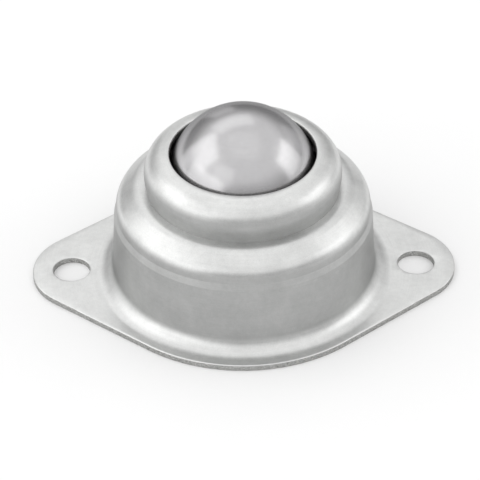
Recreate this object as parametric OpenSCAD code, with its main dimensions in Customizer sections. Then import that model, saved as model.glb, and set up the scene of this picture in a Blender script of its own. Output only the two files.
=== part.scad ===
// Ball transfer unit: a load ball that rolls every way on a bed of small support balls,
// held in a drawn steel housing with a two-hole mounting flange.
// Origin: centre of the underside of the flange. +X runs through both holes, +Z is up.

/* [Load ball] */
// Diameter of the load ball
ball_d = 25.4; // [24:0.1:27]
// Gap between the ball and the edge of the housing's opening
lip_clearance = 0.4; // [0.25:0.05:0.8]
// Height of the housing's top above the centre of the ball
lip_rise = 5.1; // [4.6:0.1:6]

/* [Support balls] */
// Diameter of the small balls that carry the load ball
support_ball_d = 4.7625; // [4.7:0.0125:5.2]
// Gap on each side of a support ball, to the load ball and to the seat
running_clearance = 0.05; // [0.03:0.01:0.1]
// Gap between neighbouring support balls
ball_spacing = 0.04; // [0.02:0.01:0.1]
// Rings of support balls above the single one at the bottom
support_rings = 4; // [2:1:4]

/* [Ball seat] */
// Wall of the hardened cup
seat_t = 1.9; // [1.5:0.1:2.6]
// Diameter of the flat foot that the cup stands on
seat_foot_d = 13; // [10:0.5:18]
// Diameter of the cup's drain hole
seat_drain_d = 2.2; // [1.5:0.1:3]

/* [Base plate] */
// Sheet thickness of the base plate
base_t = 1.2; // [0.8:0.1:1.6]
// Height of its turned-up rim
base_rim_h = 6; // [4:0.5:8]
// Inside radius of the bend at the foot of the rim
base_bend_r = 0.8; // [0.4:0.1:1.5]
// Gap between the rim and the housing's skirt
base_clearance = 0.03; // [0.02:0.01:0.1]
// Diameter of the pressed stiffening bead
bead_d = 28; // [24:0.5:31]
// Width of the bead across its flat
bead_w = 2; // [1.5:0.1:3]
// Height of the bead
bead_h = 1; // [0.6:0.1:1.4]
// Inside radius of the bead's bends
bead_bend_r = 0.3; // [0.1:0.1:0.5]
// Diameter of the drain hole in the middle
base_drain_d = 5; // [3:0.5:8]

/* [Housing] */
// Sheet thickness of the housing and its flange
sheet_t = 1.1; // [0.8:0.05:1.3]
// Space between the load ball and the inside of the neck
throat_gap = 2.8; // [2.7:0.05:3.4]
// How far the cap stands out over the neck
cap_overhang = 0.27; // [0.1:0.01:0.6]
// Height of the straight side of the cap above the ledge
cap_side_h = 2.25; // [1.6:0.05:2.6]
// Outside radius of the cap's rounded edge
cap_edge_r = 3.9; // [2.6:0.1:4]
// Radius that blends the cap's side into the neck
cap_blend_r = 8; // [4:0.5:10]
// Height of the ledge's top above the centres of the top ring of support balls
ledge_rise = 2.75; // [2.6:0.05:3.2]
// Width of the flat ledge round the neck
ledge_w = 1.85; // [1.5:0.05:2.2]
// Outside radius in the corner of the neck
neck_fillet_r = 0.7; // [0.3:0.05:0.9]
// Outside radius of the crease where the ledge turns down
crease_r = 0.5; // [0.2:0.05:0.8]
// Slope of the shoulder below the ledge
shoulder_slope = 36.8; // [33:0.1:39]
// Outside radius of the shoulder's outer corner
shoulder_r = 2; // [1.2:0.1:2.4]
// Gap between the ball seat and the housing's upper wall
body_gap = 1.37; // [1:0.01:2]
// Height of the upper wall between the shoulder and the draw step
upper_wall_h = 2; // [1.6:0.1:2.6]
// Width of the small step where the wall was drawn a second time
step_w = 0.57; // [0.4:0.01:0.8]
// Height of that step
step_h = 0.3; // [0.2:0.05:0.5]
// Radius in both corners of the step
step_fillet_r = 0.3; // [0.1:0.05:0.35]
// How far the skirt widens from the step to the flange
skirt_flare = 0.5; // [0.2:0.05:1]
// Outside radius where the skirt runs into the flange
foot_fillet_r = 2.3; // [1.5:0.1:3]

/* [Flange] */
// Distance between the two mounting holes
hole_pitch = 60.5; // [59.5:0.5:70]
// Diameter of a mounting hole
hole_d = 6.4; // [5:0.1:7]
// Distance from a hole's centre to the flange's end
hole_margin = 6.8; // [5.5:0.1:10]
// Radius of the flange's rounded ends
end_r = 10.44; // [9:0.01:14]
// Width of the flat flange outside the foot fillet, front and back
flange_rim_w = 1.55; // [1:0.05:4]

/* [Hidden] */
$fn = 128;
// Cutting tools reach this far past the surface they open
past = 1;
// The web of a fillet reaches this many times the fillet's radius from its centre
web_reach = 1.1;
// Arcs are this much larger, so that they cross the sides and don't only touch them
arc_excess = 0.001;

ball_r = ball_d / 2;
support_r = support_ball_d / 2;
race_r = ball_r + running_clearance + support_r;
seat_inner_r = race_r + support_r + running_clearance;
seat_outer_r = seat_inner_r + seat_t;
ball_z = base_t + seat_t + seat_inner_r;

// Support balls: tilt of each ring from straight down, and how many balls it holds
centre_gap = support_ball_d + ball_spacing;
first_tilt = asin(centre_gap / race_r);
ring_step = 2 * asin(centre_gap / (2 * race_r));
function ring_tilt(ring) = ring == 0 ? 0 : first_tilt + (ring - 1) * ring_step;
function ring_count(ring) =
    ring == 0 ? 1
  : ring == 1 ? 6
  : floor(180 / asin(centre_gap / (2 * race_r * sin(ring_tilt(ring)))));

// Housing: heights and outside radii, from the top down
housing_h = ball_z + lip_rise;
opening_r = sqrt(pow(ball_r + lip_clearance, 2) - pow(lip_rise - sheet_t, 2));
ledge_z = ball_z - race_r * cos(ring_tilt(support_rings)) + ledge_rise;
neck_r = ball_r + throat_gap + sheet_t;
cap_r = neck_r + cap_overhang;
crease_x = neck_r + ledge_w;
wall_r = seat_outer_r + body_gap + sheet_t;
shoulder_z = ledge_z - (wall_r - crease_x) * tan(shoulder_slope);
step_z = shoulder_z - upper_wall_h;
skirt_top_r = wall_r + step_w;
skirt_foot_r = skirt_top_r + skirt_flare;
// The flange is flat from here out
flat_r = skirt_foot_r + foot_fillet_r;
flange_front_r = flat_r + flange_rim_w;
// The turned sheet and the flat flange overlap between these two radii
join_inner_r = flat_r + flange_rim_w / 3;
join_outer_r = flat_r + flange_rim_w * 2 / 3;
hole_x = hole_pitch / 2;
end_x = hole_x + hole_margin - end_r;

// A sheet's outer face, clockwise: [x, z, outside radius, inside radius] at each corner
HOUSING_PROFILE = [
    [0, housing_h, 0, 0],
    [cap_r, housing_h, cap_edge_r, cap_edge_r - sheet_t],
    [cap_r, ledge_z + cap_side_h, cap_blend_r, cap_blend_r - sheet_t],
    [neck_r, ledge_z, neck_fillet_r, neck_fillet_r + sheet_t],
    [crease_x, ledge_z, crease_r, 0],
    [wall_r, shoulder_z, shoulder_r, shoulder_r - sheet_t],
    [wall_r, step_z, step_fillet_r, sheet_t / 2],
    [skirt_top_r, step_z - step_h, step_fillet_r, 0],
    [skirt_foot_r, sheet_t, foot_fillet_r, foot_fillet_r + sheet_t],
    [join_outer_r, sheet_t, 0, 0],
];

// The shoulder traps the seat: its rim ends where the slope's underside is over its wall
seat_rim_z = ledge_z - sheet_t / cos(shoulder_slope)
           - (seat_outer_r - crease_x) * tan(shoulder_slope);

// The foot reaches up to where the cup is as wide as the foot
seat_foot_h = ball_z - base_t - sqrt(pow(seat_outer_r, 2) - pow(seat_foot_d / 2, 2));

// The base plate's rim fits the skirt's inside at the height of the rim's top
skirt_inner_at_rim = skirt_foot_r - sheet_t
                   - skirt_flare * (base_rim_h - sheet_t) / (step_z - step_h - sheet_t);
base_r = skirt_inner_at_rim - base_clearance;
bead_inner_x = (bead_d - bead_w) / 2;
bead_outer_x = (bead_d + bead_w) / 2;
bead_outside_r = bead_bend_r + base_t;
BASE_PROFILE = [
    [base_r, base_rim_h, 0, 0],
    [base_r, 0, base_bend_r + base_t, base_bend_r],
    [bead_outer_x + bead_h, 0, bead_outside_r, bead_bend_r],
    [bead_outer_x, bead_h, bead_bend_r, bead_outside_r],
    [bead_inner_x, bead_h, bead_bend_r, bead_outside_r],
    [bead_inner_x - bead_h, 0, bead_outside_r, bead_bend_r],
    [0, 0, 0, 0],
];

// Place of every support ball as [ring, turn about the vertical axis]
SUPPORT_PLACES = [
    for (ring = [0 : support_rings])
        for (i = [0 : ring_count(ring) - 1])
            [ring, 360 * i / ring_count(ring)]
];

function two_digits(n) = n < 10 ? str("0", n) : str(n);
function support_name(i) = str("support_ball_", two_digits(i + 1));
SUPPORT_NAMES = [for (i = [0 : len(SUPPORT_PLACES) - 1]) support_name(i)];

steel_grey = [0.80, 0.81, 0.82];
seat_grey = [0.55, 0.56, 0.58];
plate_grey = [0.74, 0.75, 0.74];
ball_grey = [0.72, 0.72, 0.74];
support_grey = [0.66, 0.67, 0.70];

// ---- Rounded outlines made of straight lines and true arcs ----

function unit(v) = v / norm(v);
function side_before(c, i) = unit(c[(i + len(c) - 1) % len(c)] - c[i]);
function side_after(c, i) = unit(c[(i + 1) % len(c)] - c[i]);
function half_angle(c, i) = acos(side_before(c, i) * side_after(c, i)) / 2;
function bisector(c, i) = unit(side_before(c, i) + side_after(c, i));
function turns_right(c, i) = cross(side_before(c, i), side_after(c, i)) > 0;

// The arc of radius r that rounds corner i: its start, centre and end
function arc_start(c, i, r) = c[i] + side_before(c, i) * r / tan(half_angle(c, i));
function arc_centre(c, i, r) = c[i] + bisector(c, i) * r / sin(half_angle(c, i));
function arc_end(c, i, r) = c[i] + side_after(c, i) * r / tan(half_angle(c, i));

// What lies between a sharp corner and its arc, reaching a little past the sides
module corner_web(c, i, r) {
    centre = arc_centre(c, i, r);
    start = arc_start(c, i, r);
    end = arc_end(c, i, r);
    // Clockwise, as the outline is
    tips = turns_right(c, i) ? [start, c[i], end] : [end, c[i], start];
    difference() {
        polygon(concat([centre], [for (tip = tips) centre + web_reach * (tip - centre)]));
        translate(centre) circle(r + arc_excess);
    }
}

// Area inside the clockwise corners c, each rounded by its radius in radii
module rounded_area(c, radii) {
    rounded = [for (i = [0 : len(c) - 1]) if (radii[i] > 0) i];
    difference() {
        union() {
            polygon(c);
            for (i = rounded) if (!turns_right(c, i)) corner_web(c, i, radii[i]);
        }
        for (i = rounded) if (turns_right(c, i)) corner_web(c, i, radii[i]);
    }
}

// Normal of a profile's side i, pointing into the sheet
function inward(p, i) = let (d = unit(p[i + 1] - p[i])) [d[1], -d[0]];

// Corner i of the sheet's inner face, which lies t inside its outer face
function inner_corner(p, i, t) =
    let (a = inward(p, max(i - 1, 0)), b = inward(p, min(i, len(p) - 2)))
    p[i] + t * (a + b) / (1 + a * b);

// Cross-section of a drawn sheet. Each face is closed by plain corners of its own.
module sheet_section(profile, t, outer_close, inner_close) {
    outer = [for (row = profile) [row[0], row[1]]];
    inner = [for (i = [0 : len(outer) - 1]) inner_corner(outer, i, t)];
    outer_radii = [for (row = profile) row[2]];
    inner_radii = [for (row = profile) row[3]];
    difference() {
        rounded_area(concat(outer, outer_close), concat(outer_radii, [for (c = outer_close) 0]));
        rounded_area(concat(inner, inner_close), concat(inner_radii, [for (c = inner_close) 0]));
    }
}

// ---- Sub-parts ----

module housing_section() {
    below = [[join_outer_r + past, 0], [join_outer_r + past, -past], [0, -past]];
    difference() {
        sheet_section(HOUSING_PROFILE, sheet_t, [[join_outer_r, 0], [0, 0]], below);
        square([opening_r, housing_h + past]);
    }
}

// The flange is a rhombus whose corners are rounded into the ends, the front and the back
module flange_outline() {
    slant = acos((flange_front_r - end_r) / end_x);
    tip_x = flange_front_r / cos(slant);
    tip_y = flange_front_r / sin(slant);
    rounded_area([[tip_x, 0], [0, -tip_y], [-tip_x, 0], [0, tip_y]],
                 [end_r, flange_front_r, end_r, flange_front_r]);
}

module flange() {
    linear_extrude(sheet_t)
        difference() {
            flange_outline();
            circle(join_inner_r);
            for (side = [-1, 1]) translate([side * hole_x, 0]) circle(d = hole_d);
        }
}

module housing() {
    color(steel_grey)
    union() {
        rotate_extrude() housing_section();
        flange();
    }
}

module ball_seat() {
    color(seat_grey)
    difference() {
        union() {
            intersection() {
                translate([0, 0, ball_z]) sphere(seat_outer_r);
                translate([0, 0, base_t]) cylinder(r = seat_outer_r + past, h = seat_rim_z - base_t);
            }
            translate([0, 0, base_t]) cylinder(d = seat_foot_d, h = seat_foot_h);
        }
        translate([0, 0, ball_z]) sphere(seat_inner_r);
        translate([0, 0, base_t - past]) cylinder(d = seat_drain_d, h = seat_t + 2 * past);
    }
}

module base_section() {
    above = [[0, base_rim_h + past], [base_r - base_t, base_rim_h + past]];
    difference() {
        sheet_section(BASE_PROFILE, base_t, [[0, base_rim_h]], above);
        square([base_drain_d / 2, base_t + past]);
    }
}

module base_plate() {
    color(plate_grey)
    rotate_extrude() base_section();
}

module load_ball() {
    color(ball_grey)
    translate([0, 0, ball_z]) sphere(ball_r);
}

// One support ball at its place [ring, turn] in the race
module support_ball(place) {
    tilt = ring_tilt(place[0]);
    color(support_grey)
    translate([0, 0, ball_z])
    rotate([0, 0, place[1]])
    translate([race_r * sin(tilt), 0, -race_r * cos(tilt)])
        sphere(support_r, $fn = 48);
}

housing();
ball_seat();
base_plate();
load_ball();
for (i = [0 : len(SUPPORT_PLACES) - 1])
    support_ball(SUPPORT_PLACES[i]);
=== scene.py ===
"""Ball transfer unit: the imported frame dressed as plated, ground and hardened steel.

The pressed housing gets a finer mesh of its own, with the rolled and torn edges that a press
leaves. The balls, the seat and the base plate keep the frame's shapes and get finishes.
"""

import logging
import math
from collections.abc import Callable
from dataclasses import dataclass
from enum import Enum

import bmesh
import bpy
from mathutils import Matrix, Vector


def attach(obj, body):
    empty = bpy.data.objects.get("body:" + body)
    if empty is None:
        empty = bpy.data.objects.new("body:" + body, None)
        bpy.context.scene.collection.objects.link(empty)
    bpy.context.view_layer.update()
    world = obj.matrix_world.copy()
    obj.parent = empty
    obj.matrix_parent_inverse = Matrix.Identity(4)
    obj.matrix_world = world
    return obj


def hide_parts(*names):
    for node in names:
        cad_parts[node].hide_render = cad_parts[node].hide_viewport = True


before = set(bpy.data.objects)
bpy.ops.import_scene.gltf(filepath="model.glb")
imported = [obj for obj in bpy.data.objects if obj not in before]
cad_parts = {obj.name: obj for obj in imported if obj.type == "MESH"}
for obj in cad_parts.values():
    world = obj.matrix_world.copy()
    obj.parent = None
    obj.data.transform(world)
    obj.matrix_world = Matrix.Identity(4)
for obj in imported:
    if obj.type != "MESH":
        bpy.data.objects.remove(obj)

MM = 0.001
# Blender's noise hardly leaves these limits
NOISE_LOW, NOISE_HIGH = 0.3, 0.7
UNIT_BODY = "frame_unit"
LOG = logging.getLogger("ball_transfer_unit")


class Slot(Enum):
    """The record's material slots."""

    HOUSING = "housing_steel"
    SEAT = "seat_steel"
    PLATE = "plate_steel"
    LOAD_BALL = "load_ball_steel"
    SUPPORT_BALL = "support_ball_steel"


class ShaderGraph:
    """A small builder for the node tree of a material or the world."""

    def __init__(self, tree: bpy.types.NodeTree) -> None:
        """Start with an emptied node tree.

        Args:
            tree: The tree to build in.
        """
        self.nodes = tree.nodes
        self.links = tree.links
        self.nodes.clear()

    def add(self, kind: str, inputs: dict | None = None, **settings: object) -> bpy.types.Node:
        """Add a node.

        Args:
            kind: Blender's type name of the node.
            inputs: Socket names or numbers, each with a value or another node's output.
            **settings: Attributes to set on the node itself.

        Returns:
            The new node.
        """
        node = self.nodes.new(kind)
        for key, value in settings.items():
            setattr(node, key, value)
        for key, value in (inputs or {}).items():
            if isinstance(value, bpy.types.NodeSocket):
                self.links.new(value, node.inputs[key])
            else:
                node.inputs[key].default_value = value
        return node

    def math(self, operation: str, *values: float | bpy.types.NodeSocket) -> bpy.types.NodeSocket:
        """Add a math node.

        Args:
            operation: Name of the operation.
            *values: Numbers or outputs, one for each input.

        Returns:
            The node's output.
        """
        return self.add("ShaderNodeMath", dict(enumerate(values)), operation=operation).outputs[0]

    def ramp(self, value: bpy.types.NodeSocket, low: float, high: float) -> bpy.types.NodeSocket:
        """Turn noise into a value between two limits.

        Args:
            value: The noise.
            low: Result where the noise is lowest.
            high: Result where the noise is highest.

        Returns:
            The limited output.
        """
        node = self.add(
            "ShaderNodeMapRange",
            {"Value": value, "From Min": NOISE_LOW, "From Max": NOISE_HIGH,
             "To Min": low, "To Max": high},
        )
        return node.outputs["Result"]

    def around_one(self, value: bpy.types.NodeSocket, spread: float) -> bpy.types.NodeSocket:
        """Turn noise into a factor between 1 - spread and 1 + spread."""
        return self.ramp(value, 1 - spread, 1 + spread)

    def scaled(
        self, vector: bpy.types.NodeSocket | tuple[float, float, float],
        factor: float | bpy.types.NodeSocket,
    ) -> bpy.types.NodeSocket:
        """Multiply a vector or a colour by one factor.

        Args:
            vector: The vector or colour, or the output that gives it.
            factor: The factor, or the output that gives it.

        Returns:
            The product.
        """
        return self.add(
            "ShaderNodeVectorMath", {0: vector, "Scale": factor}, operation="SCALE"
        ).outputs[0]

    def noise(
        self, place: bpy.types.NodeSocket, size: float, detail: float
    ) -> bpy.types.NodeSocket:
        """Add noise whose features measure about size.

        Args:
            place: Coordinates, in the unit of size.
            size: Size of a feature.
            detail: How many finer layers are added.

        Returns:
            The noise, mostly between NOISE_LOW and NOISE_HIGH.
        """
        return self.add(
            "ShaderNodeTexNoise", {"Vector": place, "Scale": 1 / size, "Detail": detail}
        ).outputs["Fac"]


def new_material(name: str) -> bpy.types.Material:
    """Make a material that has a node tree.

    Args:
        name: Name of the material.

    Returns:
        The new material.
    """
    material = bpy.data.materials.new(name)
    material.use_nodes = True
    return material


@dataclass(frozen=True)
class SteelFinish:
    """A steel surface: its colour, gloss, the marks that work has left on it and painted shade on
    upright walls.

    Sizes are in millimetres, and depths are those of the bump. A spread is how far noise takes a
    value to each side.

    Attributes:
        name: Name of the material.
        colour: Colour of the metal, before noise.
        roughness: Roughness of the metal, before noise.
        colour_spread: Spread of the colour by the clouds.
        roughness_spread: Width of the band that the roughness stays in, for each noise.
        cloud_size: Size of the clouds, the largest marks.
        cloud_detail: Finer layers in the clouds.
        blotch_size: Size of the mottling.
        blotch_spread: Spread of the colour by the mottling.
        blotch_detail: Finer layers in the mottling.
        grain_size: Size of the grain, the finest marks.
        grain_depth: Depth of the grain.
        grain_spread: Spread of the colour by the grain.
        line_size: Width of the lines that run round the unit.
        line_depth: Depth of the lines.
        line_stretch: How many times longer than wide the lines are.
        line_fade: How many times less than the clouds the lines spread the colour.
        fine_detail: Finer layers in the grain and the lines.
        edge_colour: Colour of the torn metal on a cut edge.
        edge_spread: Spread of that colour by the grain.
        edge_roughness: Roughness of a cut edge.
        glancing_tint: How bright the metal stays at a glancing angle, where 1 is white.
        wall_painted_shade: Factor on the colour of upright walls, a painted shade that makes them
            darker than the flats.
        wall_lean: Upward part of the normal up to which a face counts as a wall and gets the full
            painted shade.
        flat_lean: Upward part of the normal from which a face keeps its full colour, free of
            painted shade.
    """

    name: str
    colour: tuple[float, float, float]
    roughness: float
    colour_spread: float = 0.06
    roughness_spread: float = 0.06
    cloud_size: float = 4.0
    cloud_detail: float = 4.0
    blotch_size: float = 0.9
    blotch_spread: float = 0.03
    blotch_detail: float = 2.0
    grain_size: float = 0.18
    grain_depth: float = 0.003
    grain_spread: float = 0.05
    line_size: float = 0.25
    line_depth: float = 0.0015
    line_stretch: float = 40.0
    line_fade: float = 3.0
    fine_detail: float = 3.0
    edge_colour: tuple[float, float, float] = (0.42, 0.42, 0.41)
    edge_spread: float = 0.6
    edge_roughness: float = 0.45
    glancing_tint: float = 0.85
    wall_painted_shade: float = 1.0
    wall_lean: float = 0.15
    flat_lean: float = 0.6

    def build(self) -> bpy.types.Material:
        """Build the material.

        Returns:
            A node material with clouded colour and gloss, grain, lines, cut edges and, for some
            finishes, painted shade on upright walls.
        """
        material = new_material(self.name)
        graph = ShaderGraph(material.node_tree)
        place = graph.scaled(graph.add("ShaderNodeTexCoord").outputs["Object"], 1 / MM)
        cloud = graph.noise(place, self.cloud_size, self.cloud_detail)
        grain = graph.noise(place, self.grain_size, self.fine_detail)
        lines = graph.noise(self._line_space(graph, place), self.line_size, self.fine_detail)
        blotch = graph.noise(place, self.blotch_size, self.blotch_detail)

        shade = graph.around_one(cloud, self.colour_spread)
        for noise, spread in (
            (lines, self.colour_spread / self.line_fade),
            (blotch, self.blotch_spread),
            (grain, self.grain_spread),
        ):
            shade = graph.math("MULTIPLY", shade, graph.around_one(noise, spread))
        # Painted shade: the upright walls get a darker colour than the flats
        if self.wall_painted_shade < 1.0:
            shade = graph.math("MULTIPLY", shade, self._paint_shade_on_walls(graph))
        half_band = self.roughness_spread / 2
        gloss = graph.math(
            "ADD",
            graph.ramp(cloud, self.roughness - half_band, self.roughness + half_band),
            graph.ramp(grain, -half_band, half_band),
        )
        cut = graph.add("ShaderNodeAttribute", attribute_name="cut_edge").outputs["Fac"]
        torn_colour = graph.scaled(self.edge_colour, graph.around_one(grain, self.edge_spread))
        # A mix of colours has its sockets after those of the other kinds of mix
        colour = graph.add(
            "ShaderNodeMix", {0: cut, 6: graph.scaled(self.colour, shade), 7: torn_colour},
            data_type="RGBA",
        ).outputs[2]
        roughness = graph.add(
            "ShaderNodeMix", {0: cut, 2: gloss, 3: self.edge_roughness}, data_type="FLOAT"
        ).outputs[0]

        height = graph.math(
            "ADD",
            graph.math("MULTIPLY", grain, self.grain_depth),
            graph.math("MULTIPLY", lines, self.line_depth),
        )
        bump = graph.add(
            "ShaderNodeBump", {"Height": height, "Distance": MM, "Strength": 1.0}
        ).outputs["Normal"]
        surface = graph.add(
            "ShaderNodeBsdfPrincipled",
            {
                "Base Color": colour,
                "Metallic": 1.0,
                "Roughness": roughness,
                "Specular Tint": (self.glancing_tint,) * 3 + (1.0,),
                "Normal": bump,
            },
        )
        graph.add("ShaderNodeOutputMaterial", {"Surface": surface.outputs["BSDF"]})
        return material

    def _paint_shade_on_walls(self, graph: ShaderGraph) -> bpy.types.NodeSocket:
        """Paint shade on the upright walls.

        Args:
            graph: The material's graph.

        Returns:
            wall_painted_shade on an upright wall, rising to 1 where the sheet lies flatter.
        """
        normal = graph.add("ShaderNodeTexCoord").outputs["Normal"]
        upward = graph.add("ShaderNodeSeparateXYZ", {0: normal}).outputs[2]
        return graph.add(
            "ShaderNodeMapRange",
            {"Value": graph.math("ABSOLUTE", upward), "From Min": self.wall_lean,
             "From Max": self.flat_lean, "To Min": self.wall_painted_shade, "To Max": 1.0},
            interpolation_type="SMOOTHSTEP",
        ).outputs["Result"]

    def _line_space(
        self, graph: ShaderGraph, place: bpy.types.NodeSocket
    ) -> bpy.types.NodeSocket:
        """Stretch coordinates so that noise becomes fine lines round the axis.

        Args:
            graph: The material's graph.
            place: Coordinates in millimetres.

        Returns:
            Length round the axis, divided by line_stretch, then radius and height.
        """
        parts = graph.add("ShaderNodeSeparateXYZ", {0: place})
        x, y, z = parts.outputs[0], parts.outputs[1], parts.outputs[2]
        radius = graph.math("SQRT", graph.math("ADD", graph.math("MULTIPLY", x, x),
                                               graph.math("MULTIPLY", y, y)))
        turn = graph.math("MULTIPLY", graph.math("ARCTAN2", y, x), radius)
        along = graph.math("DIVIDE", turn, self.line_stretch)
        return graph.add("ShaderNodeCombineXYZ", {0: along, 1: radius, 2: z}).outputs[0]


# Painted shade darkens the plated sheet's upright walls
PLATED = SteelFinish(
    name="plated_sheet", colour=(0.725, 0.729, 0.721), roughness=0.36, wall_painted_shade=0.58
)
POLISHED = SteelFinish(
    name="ground_ball", colour=(0.56, 0.554, 0.562), roughness=0.23, glancing_tint=0.4,
    colour_spread=0.03, roughness_spread=0.03, blotch_spread=0.01,
    grain_depth=0.0005, grain_spread=0.01, line_depth=0.0003,
)
HARDENED = SteelFinish(name="hardened_seat", colour=(0.32, 0.31, 0.30), roughness=0.38)


@dataclass
class FrameSteel:
    """CAD nodes that keep their shape and get a steel finish."""

    nodes: list[str]
    finish: SteelFinish
    slot: Slot

    def dress(self) -> None:
        """Assign the finish to every node."""
        material = self.finish.build()
        for name in self.nodes:
            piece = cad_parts[name]
            piece.data.materials.clear()
            piece.data.materials.append(material)
            LOG.info("%s dressed as %s", name, self.finish.name)


@dataclass
class DrawnSheet:
    """The turned part of a pressed sheet: corners of its outer face, with their bend radii.

    Every corner is (radius, height, outside bend, inside bend) in millimetres, from the top
    down. The inner face lies one thickness inside the outer one. No piece of an arc turns by
    more than bend_step.
    """

    corners: list[tuple[float, float, float, float]]
    thickness: float
    bend_step: float = math.radians(6)

    def outer(self) -> list[Vector]:
        """Return the points of the outer face, from the top down."""
        points = [Vector(corner[:2]) for corner in self.corners]
        return self._rounded(points, [corner[2] for corner in self.corners])

    def inner(self) -> list[Vector]:
        """Move every side of the outer face in by the thickness and round the corners.

        Returns:
            The points of the inner face, from the top down.
        """
        outer = [Vector(corner[:2]) for corner in self.corners]
        last = len(outer) - 1
        normals = [self._inward(outer[i], outer[i + 1]) for i in range(last)]
        points = []
        for i, point in enumerate(outer):
            before, after = normals[max(i - 1, 0)], normals[min(i, last - 1)]
            points.append(point + self.thickness * (before + after) / (1 + before.dot(after)))
        return self._rounded(points, [corner[3] for corner in self.corners])

    @staticmethod
    def _inward(start: Vector, end: Vector) -> Vector:
        """Return the unit normal of a side, pointing into the sheet."""
        along = (end - start).normalized()
        return Vector((along.y, -along.x))

    def _rounded(self, points: list[Vector], radii: list[float]) -> list[Vector]:
        """Round the corners of an open line.

        Args:
            points: The sharp corners.
            radii: The radius of each, or 0 to keep it sharp.

        Returns:
            The line with an arc in place of every rounded corner.
        """
        line = [points[0]]
        for i in range(1, len(points) - 1):
            line += self._arc(points[i - 1], points[i], points[i + 1], radii[i])
        line.append(points[-1])
        return line

    def _arc(self, before: Vector, corner: Vector, after: Vector, radius: float) -> list[Vector]:
        """Round one corner.

        Args:
            before: The corner before it.
            corner: The sharp corner.
            after: The corner after it.
            radius: The arc's radius, or 0 to keep the corner sharp.

        Returns:
            The points of the arc, or the corner itself.
        """
        if radius <= 0:
            return [corner]
        back, on = (before - corner).normalized(), (after - corner).normalized()
        half = back.angle(on) / 2
        centre = corner + (back + on).normalized() * radius / math.sin(half)
        start = corner + back * radius / math.tan(half) - centre
        turn = math.copysign(math.pi - 2 * half, -back.cross(on))
        count = max(2, math.ceil(abs(turn) / self.bend_step))
        return [
            centre + Matrix.Rotation(turn * i / count, 2) @ start for i in range(count + 1)
        ]


def turned_piece(
    name: str, section_at: Callable[[float], list[Vector]], sides: int, capped: bool = False,
    centre_x: float = 0.0,
) -> bpy.types.Object:
    """Sweep a section round an upright axis.

    Args:
        name: Name of the piece and its mesh.
        section_at: Gives the points (radius, height) of the section in one direction, which is
            in radians from +X. Lengths are in millimetres.
        sides: How many sections the piece has.
        capped: True where the section is open and its two ends are closed by flat faces, False
            where it is a closed loop.
        centre_x: Where the axis stands along X.

    Returns:
        The closed piece.
    """
    work = bmesh.new()
    rings = []
    for i in range(sides):
        turn = 2 * math.pi * i / sides
        rings.append([
            work.verts.new(((p.x * math.cos(turn) + centre_x) * MM,
                            p.x * math.sin(turn) * MM, p.y * MM))
            for p in section_at(turn)
        ])
    count = len(rings[0])
    for i, ring in enumerate(rings):
        other = rings[(i + 1) % sides]
        for j in range(count - 1 if capped else count):
            k = (j + 1) % count
            work.faces.new((ring[j], ring[k], other[k], other[j]))
    if capped:
        work.faces.new([ring[0] for ring in rings])
        work.faces.new([ring[-1] for ring in rings])
    bmesh.ops.recalc_face_normals(work, faces=work.faces)
    mesh = bpy.data.meshes.new(name)
    work.to_mesh(mesh)
    work.free()
    piece = bpy.data.objects.new(name, mesh)
    bpy.context.collection.objects.link(piece)
    return piece


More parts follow.
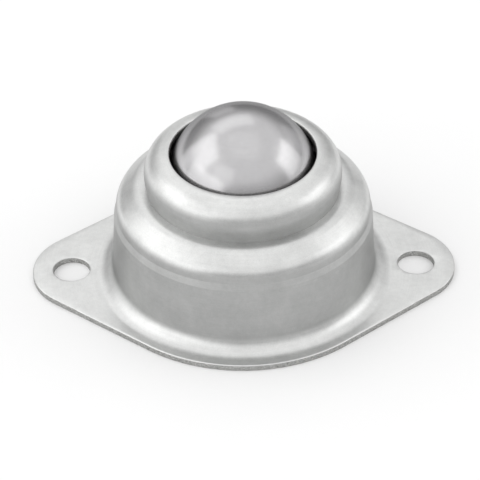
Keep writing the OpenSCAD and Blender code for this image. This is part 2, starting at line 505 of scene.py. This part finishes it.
@dataclass
class Housing:
    """The drawn housing with its oval flange, as one sheet with worked edges.

    Lengths are in millimetres. Heights are measured from the underside of the flange. The mesh
    has spokes sections round the axis, flat_rings rings on the flat of the flange, edge_steps
    faces round every rolled edge and punch_sides faces round every hole. The punch reaches
    punch_past beyond the sheet. A face whose normal rises by less than upright_lean is upright.
    """

    sheet: float = 1.1
    height: float = 25.7625
    opening_radius: float = 12.4744
    lip_round: float = 0.22
    cap_radius: float = 16.87
    cap_bend: float = 3.9
    cap_side_top: float = 21.312
    cap_blend: float = 8.0
    neck_radius: float = 16.6
    ledge_height: float = 19.062
    crease_radius: float = 18.45
    crease_bend: float = 3.0
    wall_radius: float = 21.9325
    shoulder_height: float = 16.457
    shoulder_bend: float = 3.2
    step_height: float = 14.457
    step_drop: float = 1.2
    step_bend: float = 0.3
    step_corner: float = 0.1
    skirt_radius: float = 22.3
    foot_radius: float = 23.0025
    foot_bend: float = 2.9
    flat_radius: float = 25.8025
    front_radius: float = 26.8525
    end_radius: float = 10.44
    end_centre: float = 26.61
    hole_centre: float = 30.25
    hole_radius: float = 3.2
    edge_roll: float = 0.22
    edge_burr: float = 0.08
    spokes: int = 384
    flat_rings: int = 6
    edge_steps: int = 4
    punch_sides: int = 64
    punch_past: float = 1.0
    upright_lean: float = 0.5
    sharp_angle: float = math.radians(40)
    finish: SteelFinish = PLATED

    def build(self) -> bpy.types.Object:
        """Build the housing's mesh, punch its holes, mark its cut edges and dress it.

        Returns:
            The finished piece, riding on the unit in place of the frame's housing.
        """
        shell = self._shell()
        for side in (-1, 1):
            self._punch(shell, side)
        self._mark_cut_edges(shell.data)
        shell.data.materials.append(self.finish.build())
        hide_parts("housing")
        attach(shell, UNIT_BODY)
        LOG.info("housing built with %d faces", len(shell.data.polygons))
        return shell

    def _drawn_sheet(self) -> DrawnSheet:
        """Lay out the corners of the sheet.

        Returns:
            The turned part of the sheet, from the lip to the flat of the flange.
        """
        return DrawnSheet(
            [
                (self.opening_radius, self.height, 0, 0),
                (self.cap_radius, self.height, self.cap_bend, self.cap_bend - self.sheet),
                (self.cap_radius, self.cap_side_top, self.cap_blend, self.cap_blend - self.sheet),
                (self.neck_radius, self.ledge_height, 0, self.sheet),
                (self.crease_radius, self.ledge_height, self.crease_bend, 0),
                (self.wall_radius, self.shoulder_height, self.shoulder_bend,
                 self.shoulder_bend - self.sheet),
                (self.wall_radius, self.step_height, self.step_corner, self.sheet / 2),
                (self.skirt_radius, self.step_height - self.step_drop, self.step_bend, 0),
                (self.foot_radius, self.sheet, self.foot_bend, self.foot_bend + self.sheet),
                (self.flat_radius, self.sheet, 0, 0),
            ],
            self.sheet,
        )

    def _outline(self, turn: float) -> float:
        """Return the flange's reach in one direction.

        Args:
            turn: The direction, in radians from +X.

        Returns:
            The distance from the middle to the flange's edge.
        """
        x, y = abs(math.cos(turn)), abs(math.sin(turn))
        turn = math.atan2(y, x)
        slant = math.acos((self.front_radius - self.end_radius) / self.end_centre)
        end_y = self.end_radius * math.sin(slant)
        end_x = self.end_centre + self.end_radius * math.cos(slant)
        if turn >= slant:
            return self.front_radius
        if turn >= math.atan2(end_y, end_x):
            return self.front_radius / math.cos(turn - slant)
        return self.end_centre * x + math.sqrt(self.end_radius**2 - (self.end_centre * y) ** 2)

    def _quarter(self, radius: float, start: float, x: float, y: float) -> list[Vector]:
        """Return a quarter circle that turns clockwise.

        Args:
            radius: The circle's radius.
            start: Angle at which it begins, in radians.
            x: The centre's distance from the axis.
            y: The centre's height.

        Returns:
            The points (radius, height).
        """
        angles = [start - math.pi / 2 * i / self.edge_steps for i in range(self.edge_steps + 1)]
        return [
            Vector((x, y)) + Vector((radius * math.cos(angle), radius * math.sin(angle)))
            for angle in angles
        ]

    def _spoke(self, turn: float, outer: list[Vector], inner: list[Vector]) -> list[Vector]:
        """Return the closed section of the sheet in one direction.

        Args:
            turn: The direction, in radians from +X.
            outer: The outer face's turned points.
            inner: The inner face's turned points.

        Returns:
            Points (radius, height), clockwise from the lip's top edge.
        """
        reach = self._outline(turn)
        roll, burr = self.edge_roll, self.edge_burr
        top_edge = self._quarter(roll, math.pi / 2, reach - roll, self.sheet - roll)
        low_edge = self._quarter(burr, 0, reach - burr, burr)
        rings = [i / self.flat_rings for i in range(1, self.flat_rings)]
        flat_top = [outer[-1].lerp(top_edge[0], share) for share in rings]
        flat_low = [low_edge[-1].lerp(inner[-1], share) for share in rings]
        lip = self.lip_round
        lip_x = self.opening_radius + lip
        lip_low = self._quarter(lip, -math.pi / 2, lip_x, inner[0].y + lip)
        lip_top = self._quarter(lip, math.pi, lip_x, self.height - lip)
        return [*lip_top, *outer[1:], *flat_top, *top_edge, *low_edge, *flat_low,
                *reversed(inner[1:]), *lip_low]

    def _shell(self) -> bpy.types.Object:
        """Sweep the section round the axis.

        Returns:
            The closed shell, still without holes.
        """
        sheet = self._drawn_sheet()
        outer, inner = sheet.outer(), sheet.inner()
        return turned_piece(
            "pressed_housing", lambda turn: self._spoke(turn, outer, inner), self.spokes
        )

    def _punch(self, shell: bpy.types.Object, side: int) -> None:
        """Punch one hole, with the rolled upper edge that the punch leaves.

        Args:
            shell: The housing.
            side: -1 for the left hole, 1 for the right one.
        """
        roll, past = self.edge_roll, self.punch_past
        rim_radius = self.hole_radius + roll
        profile = [
            Vector((self.hole_radius, -past)),
            *self._quarter(roll, math.pi, rim_radius, self.sheet - roll),
            Vector((rim_radius, self.sheet + past)),
        ]
        punch = turned_piece(
            "punch", lambda _turn: profile, self.punch_sides, capped=True,
            centre_x=side * self.hole_centre,
        )
        cut = shell.modifiers.new("punch", "BOOLEAN")
        cut.operation, cut.solver, cut.object = "DIFFERENCE", "EXACT", punch
        self._apply_modifiers(shell)
        bpy.data.objects.remove(punch)

    def _apply_modifiers(self, shell: bpy.types.Object) -> None:
        """Replace the piece's mesh with its evaluated one and drop its modifiers.

        Args:
            shell: The piece.
        """
        graph = bpy.context.evaluated_depsgraph_get()
        shell.data = bpy.data.meshes.new_from_object(shell.evaluated_get(graph))
        shell.modifiers.clear()

    def _mark_cut_edges(self, mesh: bpy.types.Mesh) -> None:
        """Mark the sheared faces, shade the sheet smooth and keep its sharp corners.

        Args:
            mesh: The finished mesh, with its holes.
        """
        mark = mesh.attributes.new("cut_edge", "FLOAT", "FACE")
        for polygon in mesh.polygons:
            radius = polygon.center.xy.length / MM
            upright = abs(polygon.normal.z) < self.upright_lean
            on_flange = radius > self.flat_radius and upright
            on_lip = radius < self.opening_radius + self.lip_round / 2
            mark.data[polygon.index].value = 1.0 if on_flange or on_lip else 0.0
        mesh.shade_smooth()
        mesh.set_sharp_from_angle(angle=self.sharp_angle)


@dataclass(frozen=True)
class Softbox:
    """A rectangular studio lamp that faces the unit.

    Azimuth counts from the front towards the right, and both angles are in degrees. Lengths are
    in metres. The radiance is how bright its face looks, where 1 is white.
    """

    name: str
    azimuth: float
    elevation: float
    width: float
    height: float
    radiance: float
    distance: float = 0.8

    def hang(self) -> None:
        """Make the lamp at its place."""
        turn, rise = math.radians(self.azimuth), math.radians(self.elevation)
        toward = Vector((math.sin(turn) * math.cos(rise), -math.cos(turn) * math.cos(rise),
                         math.sin(rise)))
        light = bpy.data.lights.new(self.name, "AREA")
        light.shape, light.size, light.size_y = "RECTANGLE", self.width, self.height
        # The power of a face that is equally bright from all sides
        light.energy = self.radiance * math.pi * self.width * self.height
        lamp = bpy.data.objects.new(self.name, light)
        lamp.location = toward * self.distance
        lamp.rotation_euler = (-toward).to_track_quat("-Z", "Y").to_euler()
        bpy.context.collection.objects.link(lamp)


@dataclass
class Studio:
    """Floor, sky, soft lamps and camera.

    Lengths are in metres unless a name ends in mm, and angles in radians. The floor lies
    floor_gap below the unit, so that no faces of the two share a plane. The sky rises from
    horizon_strength to sky_strength at the height sky_full of a unit sphere, and back_shade
    lowers it towards the back.
    """

    softboxes: tuple[Softbox, ...] = (
        Softbox("left_low", 295, 12, 1.0, 0.34, 0.78),
        Softbox("left_high", 264, 38, 0.66, 0.50, 0.62),
        Softbox("left_edge", 250, 10, 0.30, 0.30, 0.62),
        Softbox("left_front", 322, 32, 0.45, 0.40, 0.26),
        Softbox("right_side", 94, 22, 0.56, 0.50, 0.76),
        Softbox("right_back", 130, 14, 0.35, 0.30, 0.34),
        Softbox("back_high", 195, 50, 0.60, 0.36, 0.34),
        Softbox("back_low", 194, 14, 0.24, 0.30, 0.50),
        Softbox("overhead", 0, 85, 0.60, 0.60, 0.12),
    )
    floor_size: float = 6.0
    floor_gap: float = 0.00002
    floor_colour: tuple[float, float, float] = (0.97, 0.97, 0.97)
    horizon_strength: float = 0.38
    sky_strength: float = 0.96
    sky_full: float = 0.55
    back_shade: float = 0.25
    camera_place_mm: tuple[float, float, float] = (-5.2495, -307.975, 245.999)
    camera_aim_mm: tuple[float, float, float] = (-0.6394, 0.0, 6.7911)
    camera_roll: float = -0.0112
    lens_mm: float = 167.875
    sensor_mm: float = 36.0
    clip_near: float = 0.01
    clip_far: float = 20.0

    def build(self) -> None:
        """Make the floor, the world, the lamps and the camera."""
        self._floor()
        self._world()
        for softbox in self.softboxes:
            softbox.hang()
        self._camera()
        bpy.context.scene.view_settings.view_transform = "Standard"

    def _floor(self) -> None:
        """Lay the pale floor under the unit."""
        half = self.floor_size / 2
        mesh = bpy.data.meshes.new("floor")
        corners = ((-half, -half), (half, -half), (half, half), (-half, half))
        mesh.from_pydata([(x, y, -self.floor_gap) for x, y in corners], [], [(0, 1, 2, 3)])
        floor = bpy.data.objects.new("floor", mesh)
        bpy.context.collection.objects.link(floor)
        material = new_material("pale_floor")
        graph = ShaderGraph(material.node_tree)
        surface = graph.add("ShaderNodeBsdfDiffuse", {"Color": (*self.floor_colour, 1.0)})
        graph.add("ShaderNodeOutputMaterial", {"Surface": surface.outputs["BSDF"]})
        mesh.materials.append(material)

    def _world(self) -> None:
        """Fill the room with soft light that fades to the horizon, and sooner at the back."""
        world = bpy.data.worlds.new("studio")
        world.use_nodes = True
        graph = ShaderGraph(world.node_tree)
        direction = graph.add("ShaderNodeTexCoord").outputs["Generated"]
        parts = graph.add("ShaderNodeSeparateXYZ", {0: direction})
        behind = graph.math("MULTIPLY", graph.math("MAXIMUM", parts.outputs[1], 0.0),
                            self.back_shade)
        fade = graph.add(
            "ShaderNodeMapRange",
            {"Value": graph.math("SUBTRACT", parts.outputs[2], behind),
             "From Min": 0.0, "From Max": self.sky_full,
             "To Min": self.horizon_strength, "To Max": self.sky_strength},
            interpolation_type="SMOOTHSTEP",
        )
        glow = graph.add("ShaderNodeBackground",
                         {"Color": (1.0, 1.0, 1.0, 1.0), "Strength": fade.outputs["Result"]})
        graph.add("ShaderNodeOutputWorld", {"Surface": glow.outputs["Background"]})
        bpy.context.scene.world = world

    def _camera(self) -> None:
        """Set up the long-lens view from the front and above."""
        place, aim = Vector(self.camera_place_mm) * MM, Vector(self.camera_aim_mm) * MM
        forward = (aim - place).normalized()
        level = forward.cross(Vector((0, 0, 1))).normalized()
        upright = level.cross(forward)
        right = math.cos(self.camera_roll) * level + math.sin(self.camera_roll) * upright
        up = math.cos(self.camera_roll) * upright - math.sin(self.camera_roll) * level
        turn = Matrix((right, up, -forward)).transposed()
        lens = bpy.data.cameras.new("camera")
        lens.lens, lens.sensor_width = self.lens_mm, self.sensor_mm
        lens.clip_start, lens.clip_end = self.clip_near, self.clip_far
        camera = bpy.data.objects.new("camera", lens)
        camera.matrix_world = Matrix.Translation(place) @ turn.to_4x4()
        bpy.context.collection.objects.link(camera)
        bpy.context.scene.camera = camera


def main() -> None:
    """Build the unit and its studio."""
    logging.basicConfig(level=logging.INFO, format="%(message)s")
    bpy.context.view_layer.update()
    supports = sorted(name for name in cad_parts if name.startswith("support_ball"))
    Housing().build()
    FrameSteel(["load_ball"], POLISHED, Slot.LOAD_BALL).dress()
    FrameSteel(supports, POLISHED, Slot.SUPPORT_BALL).dress()
    FrameSteel(["ball_seat"], HARDENED, Slot.SEAT).dress()
    FrameSteel(["base_plate"], PLATED, Slot.PLATE).dress()
    Studio().build()


if __name__ == "__main__":
    main()
